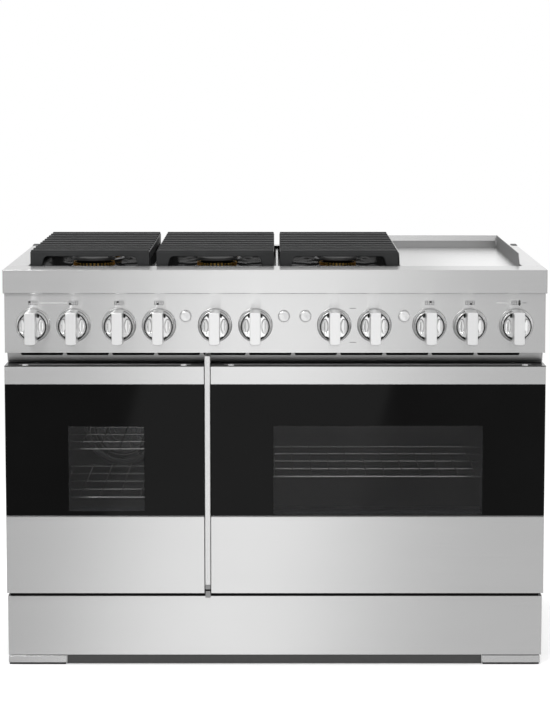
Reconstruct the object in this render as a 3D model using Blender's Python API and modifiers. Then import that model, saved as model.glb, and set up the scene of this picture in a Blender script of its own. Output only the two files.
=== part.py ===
"""Free-standing double-oven gas range, 1.216 m wide, with six burners and a griddle.

Metres, +Z up. The front faces -Y and the origin is on the floor under the middle of
the bounding box. Sheet pieces are open boxes or open prisms with a wall thickness, and
pieces that touch keep a clearance of about 0.3 mm.
"""

import math

import bmesh
import bpy
from mathutils import Matrix

# Overall sizes
WIDTH = 1.216
DEPTH = 0.655
TOP = 0.905
GRATE_TOP = 0.940
GRATE_WALL_TOP = 0.936
GAP = 0.0003

# Planes from front to back; FRONT is the face of the rail and of the doors
FRONT = -0.2725
KNOB_FRONT = -DEPTH / 2
BACK = DEPTH / 2
PANEL_FACE = FRONT + 0.012
KICK_FACE = FRONT + 0.020
OVEN_FACE = FRONT + 0.060
DECK_FRONT = FRONT + 0.0855
DECK_BACK = BACK - 0.0305

# Body
SIDE = 0.606
SHEET = 0.0015
FOOT = 0.0205
PANEL_LOW = 0.717
PANEL_DEEP = 0.038
PANEL_HIGH = 0.8505
RAIL_LOW = 0.852
TRIM_LOW = 0.8625
DECK_X = 0.560
DECK_FLOOR = 0.8865

# Doors: bottom-hinged, with a full-width black glass between two steel bands
DOOR_LOW = 0.170
DOOR_HIGH = 0.6875
GLASS_LOW = 0.345
GLASS_HIGH = 0.6475
GLASS = 0.0055
DOOR_BACK = FRONT + 0.050
HINGE_Y = FRONT + 0.015
HINGE_Z = 0.180
LEFT_DOOR = (-0.606, -0.1595)
RIGHT_DOOR = (-0.144, 0.6065)
LEFT_WINDOW = (-0.464, -0.294, 0.358, 0.552)
RIGHT_WINDOW = (-0.004, 0.467, 0.350, 0.553)
STRIP = (-0.158, -0.1455)
STRIP_LOW = 0.188
STRIP_HIGH = 0.711

# Oven cavities: clear width, height and depth of each liner
LEFT_CAVITY = (-0.5605, -0.1995)
RIGHT_CAVITY = (-0.105, 0.568)
CAVITY_LOW = 0.245
CAVITY_HIGH = 0.625
CAVITY_BACK = FRONT + 0.540

# Controls
KNOB_Z = 0.7795
KNOB_X = {
    "knob_burner_left_front": -0.542,
    "knob_burner_left_rear": -0.4515,
    "knob_burner_middle_front": -0.3495,
    "knob_burner_middle_rear": -0.260,
    "knob_oven_left_mode": -0.1345,
    "knob_oven_left_heat": -0.044,
    "knob_oven_right_mode": 0.1325,
    "knob_oven_right_heat": 0.2225,
    "knob_burner_right_front": 0.346,
    "knob_burner_right_rear": 0.4365,
    "knob_griddle": 0.540,
}
KNOB_RADIUS = 0.034
KNOB_BACK = PANEL_FACE - 0.0045
KNOB_DISC = 0.018
GRIP_WIDTH = 0.0235
GRIP_HEIGHT = 0.073
BORE_RADIUS = 0.0045
BORE_DEPTH = 0.0135
STEM_RADIUS = 0.0036
PIPE_Y = FRONT + 0.050
PIPE_RADIUS = 0.010
BUTTON_Z = 0.800
BUTTON_X = {
    "button_oven_left_light": -0.200,
    "button_timer": 0.020,
    "button_clock": 0.068,
    "button_oven_right_light": 0.289,
}
BUTTON_RADIUS = 0.013
BUTTON_PROUD = 0.010

# Cooktop
GRATE_X = {
    "grate_left": (-0.557, -0.286),
    "grate_middle": (-0.270, -0.002),
    "grate_right": (0.011, 0.280),
}
GRATE_FRONT = FRONT + 0.097
GRATE_BACK = DECK_BACK - 0.0025
GRATE_WALL = 0.010
GRATE_RIBS = 9
RIB_WIDTH = 0.009
BURNER_X = {"left": -0.424, "middle": -0.136, "right": 0.147}
BURNER_Y = {"front": FRONT + 0.235, "rear": FRONT + 0.440}
CAP_RADIUS = {"left": 0.050, "middle": 0.048, "right": 0.0445}
GRIDDLE_X = (0.283, 0.557)
GRIDDLE_TOP = 0.9005
GRIDDLE_PLATE = 0.003
SPLASH_TOP = 0.931

parts = bpy.data.collections.new("gas_range")
cutters = bpy.data.collections.new("cutters")


def make_materials():
    """Name, colour, roughness and metallic value of every finish."""
    finishes = {
        "stainless": ((0.72, 0.72, 0.72, 1), 0.32, 1.0),
        "bright_steel": ((0.85, 0.85, 0.85, 1), 0.15, 1.0),
        "galvanised": ((0.45, 0.46, 0.47, 1), 0.5, 1.0),
        "black_glass": ((0.01, 0.01, 0.011, 1), 0.05, 0.0),
        "black_enamel": ((0.02, 0.02, 0.022, 1), 0.25, 0.0),
        "blue_enamel": ((0.05, 0.055, 0.07, 1), 0.35, 0.0),
        "cast_iron": ((0.03, 0.03, 0.03, 1), 0.75, 0.0),
        "burner_enamel": ((0.03, 0.03, 0.03, 1), 0.4, 0.0),
        "griddle_steel": ((0.62, 0.62, 0.61, 1), 0.3, 1.0),
        "chrome_wire": ((0.8, 0.8, 0.8, 1), 0.2, 1.0),
    }
    for name, (colour, roughness, metallic) in finishes.items():
        material = bpy.data.materials.new(name)
        material.use_nodes = True
        shader = material.node_tree.nodes["Principled BSDF"]
        shader.inputs["Base Color"].default_value = colour
        shader.inputs["Roughness"].default_value = roughness
        shader.inputs["Metallic"].default_value = metallic


def add_object(name, data, material, group=None):
    obj = bpy.data.objects.new(name, data)
    (group or parts).objects.link(obj)
    if group is cutters:
        obj.hide_render = True
        obj.display_type = "WIRE"
    elif not data.materials:
        data.materials.append(bpy.data.materials[material])
    return obj


def cube_mesh(bm, low, high):
    """Adds a box to bm and returns its vertices."""
    size = [high[i] - low[i] for i in range(3)]
    middle = [(high[i] + low[i]) / 2 for i in range(3)]
    place = Matrix.Translation(middle) @ Matrix.Diagonal((*size, 1))
    return bmesh.ops.create_cube(bm, size=1, matrix=place)["verts"]


def boxes(name, corners, material=None, group=None):
    """One object of the boxes given by their low and high corners, which stay apart."""
    bm = bmesh.new()
    for low, high in corners:
        cube_mesh(bm, low, high)
    mesh = bpy.data.meshes.new(name)
    bm.to_mesh(mesh)
    bm.free()
    return add_object(name, mesh, material, group)


def thicken(obj, wall):
    """Gives an open surface its wall, inwards from the drawn face."""
    solid = obj.modifiers.new("wall", "SOLIDIFY")
    solid.thickness = wall
    solid.offset = -1
    solid.use_even_offset = True
    return obj


def round_edges(obj, width, segments=2):
    bevel = obj.modifiers.new("edges", "BEVEL")
    bevel.width = width
    bevel.segments = segments
    bevel.limit_method = "ANGLE"
    bevel.angle_limit = math.radians(40)
    return obj


def open_box(name, low, high, open_sides, material, wall=SHEET):
    """A folded sheet box without its open_sides, such as ("+Z", "-Y")."""
    bm = bmesh.new()
    cube_mesh(bm, low, high)
    bm.normal_update()
    gone = []
    for face in bm.faces:
        axis = max(range(3), key=lambda i: abs(face.normal[i]))
        side = ("+" if face.normal[axis] > 0 else "-") + "XYZ"[axis]
        if side in open_sides:
            gone.append(face)
    bmesh.ops.delete(bm, geom=gone, context="FACES")
    mesh = bpy.data.meshes.new(name)
    bm.to_mesh(mesh)
    bm.free()
    return thicken(add_object(name, mesh, material), wall)


def prism(name, outline, start, end, material, group=None, open_edges=(), along="X"):
    """An outline of (y, z) points drawn along X, or of (x, z) points drawn along Y.

    The outline runs so that its faces point outwards after the extrusion, and the
    sides that stand on open_edges are left out.
    """
    bm = bmesh.new()
    if along == "X":
        corners = [bm.verts.new((start, a, b)) for a, b in outline]
        travel = (end - start, 0, 0)
    else:
        corners = [bm.verts.new((a, start, b)) for a, b in outline]
        travel = (0, end - start, 0)
    first = bm.faces.new(corners)
    grown = bmesh.ops.extrude_face_region(bm, geom=[first], use_keep_orig=True)
    moved = [item for item in grown["geom"] if isinstance(item, bmesh.types.BMVert)]
    bmesh.ops.translate(bm, verts=moved, vec=travel)
    bmesh.ops.recalc_face_normals(bm, faces=bm.faces)
    gone = []
    for index in open_edges:
        pair = {corners[index], corners[(index + 1) % len(outline)]}
        for face in bm.faces:
            if pair <= set(face.verts) and len(face.verts) == 4 and face is not first:
                gone.append(face)
    bmesh.ops.delete(bm, geom=gone, context="FACES")
    mesh = bpy.data.meshes.new(name)
    bm.to_mesh(mesh)
    bm.free()
    return add_object(name, mesh, material, group)


def turned(name, profile, steps, material, group=None):
    """A solid of (radius, height) points about Z, listed from the top down."""
    mesh = bpy.data.meshes.new(name)
    points = [(radius, 0, height) for radius, height in profile]
    edges = [(i, i + 1) for i in range(len(points) - 1)]
    mesh.from_pydata(points, edges, [])
    obj = add_object(name, mesh, material, group)
    screw = obj.modifiers.new("turn", "SCREW")
    screw.axis = "Z"
    screw.steps = steps
    screw.render_steps = steps
    screw.use_merge_vertices = True
    screw.merge_threshold = 0.00001
    return obj


def join_shape(target, other, operation):
    """Adds or removes another shape's volume with an exact Boolean."""
    boolean = target.modifiers.new(operation.lower(), "BOOLEAN")
    boolean.operation = operation
    boolean.solver = "EXACT"
    boolean.object = other
    return target


def as_mesh(obj):
    """The evaluated shape of obj as a plain mesh, welded; obj and its modifiers stay."""
    bpy.context.view_layer.update()
    graph = bpy.context.evaluated_depsgraph_get()
    mesh = bpy.data.meshes.new_from_object(obj.evaluated_get(graph))
    bm = bmesh.new()
    bm.from_mesh(mesh)
    bmesh.ops.remove_doubles(bm, verts=bm.verts, dist=0.00001)
    bm.to_mesh(mesh)
    bm.free()
    return mesh


def smooth(obj, degrees=35):
    obj.data.shade_smooth()
    obj.data.set_sharp_from_angle(angle=math.radians(degrees))


def grid_plate(name, x_lines, y_lines, holes, material, wall):
    """A flat plate in its local XY plane, ruled by x_lines and y_lines.

    holes(i, j) says which cells are left out. The plate grows wall along -Z.
    """
    bm = bmesh.new()
    rows = [[bm.verts.new((x, y, 0)) for x in x_lines] for y in y_lines]
    for j in range(len(y_lines) - 1):
        for i in range(len(x_lines) - 1):
            if not holes(i, j):
                square = (rows[j][i], rows[j][i + 1], rows[j + 1][i + 1], rows[j + 1][i])
                bm.faces.new(square)
    loose = [vert for vert in bm.verts if not vert.link_faces]
    bmesh.ops.delete(bm, geom=loose, context="VERTS")
    mesh = bpy.data.meshes.new(name)
    bm.to_mesh(mesh)
    bm.free()
    return thicken(add_object(name, mesh, material), wall)


def bar_lines(low, high, count, width):
    """Edges of count bars of one width, spread evenly from low to high."""
    pitch = (high - low - width) / (count - 1)
    lines = []
    for index in range(count):
        lines += [low + index * pitch, low + index * pitch + width]
    return lines


def make_body():
    panel_rear = PANEL_FACE + PANEL_DEEP + 0.0005
    side_outline = [
        (KICK_FACE + 0.002, 0.0225),
        (BACK - 0.0005, 0.0225),
        (BACK - 0.0005, TRIM_LOW - 0.001),
        (panel_rear, TRIM_LOW - 0.001),
        (panel_rear, PANEL_LOW),
        (OVEN_FACE, 0.692),
        (OVEN_FACE, 0.160),
        (KICK_FACE + 0.002, 0.160),
    ]
    for name, sign in (("side_panel_left", -1), ("side_panel_right", 1)):
        prism(name, side_outline, sign * (SIDE - SHEET), sign * SIDE, "stainless")

    inner = SIDE - SHEET - 0.0005
    panel_back = BACK - 0.0008
    boxes("back_panel", [((-inner, panel_back - SHEET, 0.025), (inner, panel_back, 0.861))],
          "galvanised")
    boxes("base_pan", [((-inner, OVEN_FACE, FOOT + 0.001), (inner, panel_back - 0.003, 0.0235))],
          "galvanised")
    partition_x = (STRIP[0] + STRIP[1]) / 2
    boxes("centre_partition",
          [((partition_x - 0.001, OVEN_FACE + 0.003, 0.0245),
            (partition_x + 0.001, panel_back - 0.003, 0.690))], "galvanised")
    strip = boxes("divider_strip",
                  [((STRIP[0], FRONT, STRIP_LOW), (STRIP[1], FRONT + 0.0515, STRIP_HIGH))],
                  "bright_steel")
    round_edges(strip, 0.001, 1)
    open_box("kick_panel", (-0.603, KICK_FACE, 0.0215), (0.601, KICK_FACE + 0.030, 0.158),
             ("+Y",), "stainless")


def make_feet():
    for name, low_x in (("front_foot_left", -0.606), ("front_foot_right", 0.471)):
        low = (low_x, KICK_FACE - 0.004, 0)
        high = (low_x + 0.132, KICK_FACE + 0.080, FOOT)
        round_edges(boxes(name, [(low, high)], "stainless"), 0.001, 1)
    for name, x in (("rear_leg_left", -0.540), ("rear_leg_right", 0.540)):
        profile = [(0, FOOT), (0.010, FOOT), (0.010, 0.010), (0.020, 0.008), (0.020, 0), (0, 0)]
        leg = turned(name, profile, 16, "black_enamel")
        leg.location = (x, BACK - 0.060, 0)


def make_front():
    rail = open_box("front_rail", (-WIDTH / 2, FRONT, RAIL_LOW), (WIDTH / 2, DECK_FRONT - 0.0005, TOP),
                    ("-Z", "+Y"), "stainless", 0.002)
    round_edges(rail, 0.0015)

    panel = open_box("control_panel", (-SIDE, PANEL_FACE, PANEL_LOW),
                     (SIDE, PANEL_FACE + PANEL_DEEP, PANEL_HIGH), ("+Y",), "stainless")
    holes = bmesh.new()
    places = [(x, KNOB_Z, BORE_RADIUS + 0.001) for x in KNOB_X.values()]
    places += [(x, BUTTON_Z, BUTTON_RADIUS + 0.0005) for x in BUTTON_X.values()]
    for x, z, radius in places:
        place = Matrix.Translation((x, PANEL_FACE, z)) @ Matrix.Rotation(math.pi / 2, 4, "X")
        bmesh.ops.create_cone(holes, cap_ends=True, segments=16, radius1=radius,
                              radius2=radius, depth=0.01, matrix=place)
    mesh = bpy.data.meshes.new("panel_holes")
    holes.to_mesh(mesh)
    holes.free()
    join_shape(panel, add_object("panel_holes", mesh, None, cutters), "DIFFERENCE")

    slots = 11
    pitch = 0.1033
    bridge = 0.005
    start = -0.5765
    x_lines = [-0.597]
    for index in range(slots):
        x_lines += [start + index * pitch, start + (index + 1) * pitch - bridge]
    x_lines.append(0.594)
    z_lines = [0, 0.0155, 0.0225, 0.0275]
    strip = grid_plate("vent_strip", x_lines, z_lines, lambda i, j: j == 1 and i % 2 == 1,
                       "black_enamel", SHEET)
    strip.rotation_euler = (math.pi / 2, 0, 0)
    strip.location = (0, FRONT + 0.0525, 0.6885)


def make_top():
    side_trim = WIDTH / 2
    for name, low, high in (("side_trim_left", -side_trim, -DECK_X - 0.0005),
                            ("side_trim_right", DECK_X + 0.0005, side_trim)):
        trim = open_box(name, (low, DECK_FRONT, TRIM_LOW), (high, DECK_BACK, TOP), ("-Z",), "stainless")
        round_edges(trim, 0.001, 1)
    rear = open_box("rear_trim", (-side_trim, DECK_BACK + 0.0005, TRIM_LOW), (side_trim, BACK, TOP),
                    ("-Z",), "stainless")
    round_edges(rear, 0.001, 1)
    open_box("cooktop_deck", (-DECK_X, DECK_FRONT, DECK_FLOOR - SHEET),
             (DECK_X, DECK_BACK, TOP - 0.0005), ("+Z",), "black_enamel")


def make_burners():
    floor = DECK_FLOOR + GAP
    for column, x in BURNER_X.items():
        cap = CAP_RADIUS[column]
        profile = [
            (0, floor + 0.0295), (cap - 0.012, floor + 0.0290), (cap - 0.002, floor + 0.0270),
            (cap, floor + 0.0240), (cap, floor + 0.0205), (cap - 0.008, floor + 0.0195),
            (cap - 0.008, floor + 0.0130), (cap - 0.002, floor + 0.0110),
            (cap + 0.004, floor + 0.0040), (cap + 0.006, floor), (0, floor),
        ]
        for row, y in BURNER_Y.items():
            burner = turned(f"burner_{column}_{row}", profile, 24, "burner_enamel")
            burner.location = (x, y, 0)
            smooth(burner)


def make_grates():
    leg_width = 0.029
    bar = 0.014
    foot = DECK_FLOOR + GAP
    for name, (low, high) in GRATE_X.items():
        y_lines = bar_lines(GRATE_FRONT + 0.001, GRATE_BACK - 0.001, GRATE_RIBS + 2, RIB_WIDTH)
        inner = (low + 0.001, low + GRATE_WALL - 0.001, high - GRATE_WALL + 0.001, high - 0.001)
        grate = grid_plate(name, inner, y_lines, lambda i, j: i == 1 and j % 2 == 1,
                           "cast_iron", bar)
        grate.location = (0, 0, GRATE_TOP)
        walls = []
        side = [(GRATE_FRONT, foot), (GRATE_FRONT + 0.030, foot), (GRATE_FRONT + 0.038, foot + 0.012),
                (GRATE_BACK - 0.038, foot + 0.012), (GRATE_BACK - 0.030, foot), (GRATE_BACK, foot),
                (GRATE_BACK, GRATE_WALL_TOP), (GRATE_FRONT, GRATE_WALL_TOP)]
        for end, x in (("a", low), ("b", high - GRATE_WALL)):
            walls.append(prism(f"{name}_side_{end}", side, x, x + GRATE_WALL, None, cutters))
        x0 = low + 0.0005
        x1 = high - 0.0005
        top = GRATE_WALL_TOP - 0.0002
        under = GRATE_WALL_TOP - 0.011
        splay = 0.012
        arch = [(x0, foot + GAP), (low + leg_width, foot + GAP), (low + leg_width + splay, under),
                (high - leg_width - splay, under), (high - leg_width, foot + GAP), (x1, foot + GAP),
                (x1, top), (x0, top)]
        end_wall = 0.008
        for end, y in (("front", GRATE_FRONT + 0.0004), ("rear", GRATE_BACK - end_wall - 0.0004)):
            walls.append(prism(f"{name}_{end}", arch, y, y + end_wall, None, cutters, along="Y"))
        for wall in walls:
            join_shape(grate, wall, "UNION")


def make_griddle():
    low, high = GRIDDLE_X
    surround = open_box("griddle_surround", (low, GRATE_FRONT - 0.003, DECK_FLOOR + GAP),
                        (high, GRATE_BACK, SPLASH_TOP), ("+Z", "-Y"), "bright_steel", 0.0025)
    splash_slant = 0.022
    for vert in surround.data.vertices:
        if vert.co.y < 0 and vert.co.z > TOP:
            vert.co.y += splash_slant
    plate_low = DECK_FLOOR + GAP + 0.0034
    rim = 0.006
    underside = GRIDDLE_TOP - GRIDDLE_PLATE
    x0 = low + 0.003
    x1 = high - 0.003
    plate = [(x0, plate_low), (x0 + rim, plate_low), (x0 + rim, underside), (x1 - rim, underside),
             (x1 - rim, plate_low), (x1, plate_low), (x1, GRIDDLE_TOP), (x0, GRIDDLE_TOP)]
    prism("griddle_plate", plate, GRATE_FRONT + 0.004, GRATE_BACK - 0.004, "griddle_steel", along="Y")

    middle = (low + high) / 2
    reach = 0.075
    inset = 0.060
    front = GRATE_FRONT + inset
    back = GRATE_BACK - inset
    loop = [(middle - reach, back), (middle - reach, front), (middle + reach, front), (middle + reach, back)]
    burner_z = (plate_low + underside) / 2
    tube("griddle_burner", [(x, y, burner_z) for x, y in loop], 0.003, "galvanised")


def tube(name, points, radius, material, group=None):
    curve = bpy.data.curves.new(name, "CURVE")
    curve.dimensions = "3D"
    spline = curve.splines.new("POLY")
    spline.points.add(len(points) - 1)
    for point, place in zip(spline.points, points):
        point.co = (*place, 1)
    curve.bevel_depth = radius
    curve.bevel_resolution = 2
    curve.use_fill_caps = True
    return add_object(name, curve, material, group)


def make_manifold():
    half = SIDE - 0.032
    pipe = turned("gas_manifold", [(0, half), (PIPE_RADIUS, half), (PIPE_RADIUS, -half), (0, -half)],
                  16, "galvanised")
    pipe.rotation_euler = (0, math.pi / 2, 0)
    pipe.location = (0, PIPE_Y, KNOB_Z)
    valve = 0.0085
    tip = KNOB_BACK - BORE_DEPTH + 0.002
    valves = bmesh.new()
    for x in KNOB_X.values():
        for radius, start, end in ((valve, PIPE_Y, PANEL_FACE + 0.008), (STEM_RADIUS, PIPE_Y - 0.001, tip)):
            middle = (x, (start + end) / 2, KNOB_Z)
            place = Matrix.Translation(middle) @ Matrix.Rotation(math.pi / 2, 4, "X")
            bmesh.ops.create_cone(valves, cap_ends=True, segments=12, radius1=radius,
                                  radius2=radius, depth=abs(end - start), matrix=place)
    mesh = bpy.data.meshes.new("valves")
    valves.to_mesh(mesh)
    valves.free()
    joined = join_shape(pipe, add_object("valves", mesh, None, cutters), "UNION")
    joined.modifiers["union"].use_self = True


def make_oven(side, door, window, cavity, racks):
    """One oven: liner, burner and racks, and its door of frame, glass and inner panel."""
    liner = oven_liner(f"oven_liner_{side}", door, cavity)
    smooth(liner, 30)
    middle = (cavity[0] + cavity[1]) / 2
    reach = (cavity[1] - cavity[0]) / 2 - 0.060
    front = OVEN_FACE + 0.050
    back = CAVITY_BACK - 0.060
    loop = [(middle - reach, back), (middle - reach, front), (middle + reach, front), (middle + reach, back)]
    tube(f"oven_burner_{side}", [(x, y, CAVITY_LOW - 0.025) for x, y in loop], 0.007, "galvanised")

    for name, z in racks.items():
        x_lines = bar_lines(cavity[0] + 0.004, cavity[1] - 0.004, 2 + round(reach / 0.017), 0.004)
        y_lines = bar_lines(OVEN_FACE + 0.052, CAVITY_BACK - 0.070, 3, 0.006)
        rack = grid_plate(name, x_lines, y_lines, lambda i, j: i % 2 == 1 and j % 2 == 1,
                          "chrome_wire", 0.005)
        rack.location = (0, 0, z)

    make_door(side, door, window)


def oven_liner(name, door, cavity):
    """Cavity shell with a flat face flange around its mouth."""
    bm = bmesh.new()
    cube_mesh(bm, (cavity[0], OVEN_FACE, CAVITY_LOW), (cavity[1], CAVITY_BACK, CAVITY_HIGH))
    bm.normal_update()
    mouth = min(bm.faces, key=lambda face: face.calc_center_median().y)
    rim = list(mouth.edges)
    bmesh.ops.delete(bm, geom=[mouth], context="FACES_ONLY")
    grown = bmesh.ops.extrude_edge_only(bm, edges=rim)
    x_mid = (cavity[0] + cavity[1]) / 2
    z_mid = (CAVITY_LOW + CAVITY_HIGH) / 2
    for item in grown["geom"]:
        if isinstance(item, bmesh.types.BMVert):
            item.co.x = door[0] + 0.006 if item.co.x < x_mid else door[1] - 0.006
            item.co.z = DOOR_LOW + 0.006 if item.co.z < z_mid else DOOR_HIGH - 0.001
    bmesh.ops.recalc_face_normals(bm, faces=bm.faces)
    mesh = bpy.data.meshes.new(name)
    bm.to_mesh(mesh)
    bm.free()
    obj = thicken(add_object(name, mesh, "blue_enamel"), SHEET)
    obj.modifiers["wall"].offset = 1
    return obj


def make_door(side, door, window):
    outline = [(FRONT, DOOR_LOW), (DOOR_BACK, DOOR_LOW), (DOOR_BACK, DOOR_HIGH), (FRONT, DOOR_HIGH),
               (FRONT, GLASS_HIGH), (FRONT + GLASS + 0.0005, GLASS_HIGH),
               (FRONT + GLASS + 0.0005, GLASS_LOW), (FRONT, GLASS_LOW)]
    frame = prism(f"door_frame_{side}", outline, door[0], door[1], "stainless", open_edges=(1,))
    thicken(frame, SHEET)
    x0, x1, z0, z1 = window
    hole = boxes(f"window_hole_{side}", [((x0, FRONT, z0), (x1, FRONT + 0.030, z1))], None, cutters)
    join_shape(frame, hole, "DIFFERENCE")

    boxes(f"door_glass_{side}",
          [((door[0], FRONT + 0.0002, GLASS_LOW + GAP), (door[1], FRONT + GLASS, GLASS_HIGH - GAP))],
          "black_glass")

    x_lines = (door[0] + 0.0005, x0, x1, door[1] - 0.0005)
    z_lines = (DOOR_LOW + 0.0005, z0, z1, DOOR_HIGH - 0.0005)
    panel = grid_plate(f"door_liner_{side}", x_lines, z_lines, lambda i, j: i == 1 and j == 1,
                       "blue_enamel", 0.002)
    panel.rotation_euler = (math.pi / 2, 0, 0)
    panel.location = (0, DOOR_BACK + GAP, 0)

    hinge = bpy.data.objects.new(f"hinge_{side}", None)
    parts.objects.link(hinge)
    hinge.location = ((door[0] + door[1]) / 2, HINGE_Y, HINGE_Z)
    bpy.context.view_layer.update()
    for name in ("door_frame", "door_glass", "door_liner"):
        piece = bpy.data.objects[f"{name}_{side}"]
        piece.parent = hinge
        piece.matrix_parent_inverse = hinge.matrix_world.inverted()


def make_fan():
    """Convection fan: a back disc with ten straight blades and a hub, turning about Y."""
    radius = 0.070
    hub = turned("fan_left", [(0, 0.022), (0.012, 0.022), (0.012, 0.003), (radius, 0.003),
                              (radius, 0.0005), (0.012, 0.0005), (0.012, -0.004), (0, -0.004)],
                 20, "galvanised")
    blades = bmesh.new()
    count = 10
    for index in range(count):
        turn = Matrix.Rotation(2 * math.pi * index / count, 4, "Z")
        shape = Matrix.Translation((radius - 0.016, 0, 0.011)) @ Matrix.Diagonal((0.028, 0.0016, 0.019, 1))
        bmesh.ops.create_cube(blades, size=1, matrix=turn @ shape)
    mesh = bpy.data.meshes.new("fan_blades")
    blades.to_mesh(mesh)
    blades.free()
    cutter = add_object("fan_blades", mesh, None, cutters)
    place = Matrix.Translation(((LEFT_CAVITY[0] + LEFT_CAVITY[1]) / 2, CAVITY_BACK - 0.006, 0.455))
    hub.matrix_world = place @ Matrix.Rotation(math.pi / 2, 4, "X")
    cutter.matrix_world = hub.matrix_world
    join_shape(hub, cutter, "UNION")


def grip_outline(steps=6):
    """Upright bar with ends rounded to half the grip's height, as (x, z) points."""
    half = GRIP_WIDTH / 2
    reach = GRIP_HEIGHT / 2
    swing = math.asin(half / reach)
    angles = [-swing + 2 * swing * index / steps for index in range(steps + 1)]
    top = [(reach * math.sin(angle), reach * math.cos(angle)) for angle in angles]
    return top + [(-x, -z) for x, z in top]


def make_knobs():
    """All knobs share one shape: a disc with a blind bore behind and a grip bar in front."""
    rim = KNOB_RADIUS
    profile = [(0, KNOB_DISC), (rim - 0.006, KNOB_DISC), (rim - 0.001, KNOB_DISC - 0.006), (rim, 0.004),
               (rim, 0), (BORE_RADIUS, 0), (BORE_RADIUS, BORE_DEPTH), (0, BORE_DEPTH)]
    body = turned("knob_body", profile, 24, None, cutters)
    body.rotation_euler = (math.pi / 2, 0, 0)
    reach = KNOB_BACK - KNOB_FRONT
    grip = prism("knob_grip", grip_outline(), -reach, -KNOB_DISC + 0.002, None, cutters, along="Y")
    join_shape(body, grip, "UNION")
    shape = as_mesh(body)
    shape.transform(body.matrix_world)
    shape.name = "knob"
    for name, x in KNOB_X.items():
        knob = add_object(name, shape, "bright_steel")
        knob.location = (x, KNOB_BACK, KNOB_Z)
        smooth(knob)


def make_buttons():
    radius = BUTTON_RADIUS
    front = BUTTON_PROUD
    profile = [(0, front), (radius - 0.003, front - 0.0005), (radius, front - 0.003),
               (radius, -0.006), (0, -0.006)]
    for name, x in BUTTON_X.items():
        button = turned(name, profile, 20, "bright_steel")
        button.rotation_euler = (math.pi / 2, 0, 0)
        button.location = (x, PANEL_FACE, BUTTON_Z)
        smooth(button)


def main():
    for obj in list(bpy.data.objects):
        bpy.data.objects.remove(obj)
    for group in (parts, cutters):
        bpy.context.scene.collection.children.link(group)
    cutters.hide_render = True
    make_materials()
    make_body()
    make_feet()
    make_front()
    make_top()
    make_burners()
    make_grates()
    make_griddle()
    make_manifold()
    make_oven("left", LEFT_DOOR, LEFT_WINDOW, LEFT_CAVITY,
              {"rack_left_upper": 0.485, "rack_left_lower": 0.371})
    make_oven("right", RIGHT_DOOR, RIGHT_WINDOW, RIGHT_CAVITY, {"rack_right": 0.420})
    make_fan()
    make_knobs()
    make_buttons()


main()
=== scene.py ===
import math

import bmesh
import bpy
from mathutils import Matrix, Vector


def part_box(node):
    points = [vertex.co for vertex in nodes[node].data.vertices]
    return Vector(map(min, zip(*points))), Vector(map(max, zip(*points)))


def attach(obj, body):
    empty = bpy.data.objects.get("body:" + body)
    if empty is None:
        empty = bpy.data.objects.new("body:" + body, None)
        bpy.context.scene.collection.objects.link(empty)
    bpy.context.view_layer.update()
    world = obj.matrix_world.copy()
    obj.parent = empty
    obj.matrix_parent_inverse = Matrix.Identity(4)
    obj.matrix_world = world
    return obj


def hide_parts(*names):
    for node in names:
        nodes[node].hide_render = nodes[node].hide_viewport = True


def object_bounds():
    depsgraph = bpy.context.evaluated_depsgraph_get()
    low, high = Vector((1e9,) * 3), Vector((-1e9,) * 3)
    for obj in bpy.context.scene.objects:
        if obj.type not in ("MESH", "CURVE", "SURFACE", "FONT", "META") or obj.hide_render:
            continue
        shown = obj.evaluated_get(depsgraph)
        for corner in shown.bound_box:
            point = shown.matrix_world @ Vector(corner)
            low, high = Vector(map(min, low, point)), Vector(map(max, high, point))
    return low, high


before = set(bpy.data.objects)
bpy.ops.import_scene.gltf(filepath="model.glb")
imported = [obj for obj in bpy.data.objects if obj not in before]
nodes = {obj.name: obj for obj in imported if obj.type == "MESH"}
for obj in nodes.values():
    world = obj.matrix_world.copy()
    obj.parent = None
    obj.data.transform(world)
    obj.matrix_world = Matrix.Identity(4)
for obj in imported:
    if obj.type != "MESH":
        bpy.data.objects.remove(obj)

cadLow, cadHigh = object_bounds()
scene = bpy.context.scene
scene.view_settings.view_transform = "Standard"
print("frame loaded:", len(nodes), "nodes")

camera = {"place": (0, -4.7325, 1.3886), "pitch": 5.117, "lens": 102.9, "shift": -0.17}


def makeCamera(size):
    data = bpy.data.cameras.new("studioCamera")
    data.sensor_fit = "AUTO"
    data.sensor_width = 36
    data.lens = size["lens"]
    data.shift_y = size["shift"]
    data.clip_end = 50
    obj = bpy.data.objects.new("studioCamera", data)
    obj.location = size["place"]
    obj.rotation_euler = (math.radians(90 - size["pitch"]), 0, 0)
    scene.collection.objects.link(obj)
    scene.camera = obj


studio = {
    "backdrop": 1.0,        # what the camera sees behind the range
    "around": 0.57,         # brightness of the front wall, and what its right side has more
    "rightMore": 0.25,
    "rightFrom": (0.02, 0.15),
    "panels": 0.60,         # how much brighter the two panels beside it are
    "panelsFrom": (0.25, 0.31),
    "panelsTo": (0.62, 0.80),
    "aside": 0.30,          # the share of it that is left in the dark bands beyond them
    "asideTo": (1.2, 1.8),
    "below": 0.35,          # and the share that is left low down
    "belowFrom": (-2.0, -0.8),
    "window": 1.80,         # a slanted bright band in the front wall, and its place and half width
    "windowMiddle": 0.0365,
    "windowHalf": 0.0635,
    "windowSlant": 0.25,
    "windowSpan": (-0.34, -0.10),
    "windowFoot": (-1.2, -0.5),
    "windowEdge": 0.0025,
    "behind": 0.95,
    "behindFrom": (-0.1, 0.3),
    "ceiling": 1.0,
    "ceilingFrom": (0.1, 0.9),
    "floorWhite": 0.90,
    "floorGlow": 0.16,      # keeps the lit floor white, so that only contact shadows show
    "floorFade": (1.1, 2.6),
}


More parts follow.
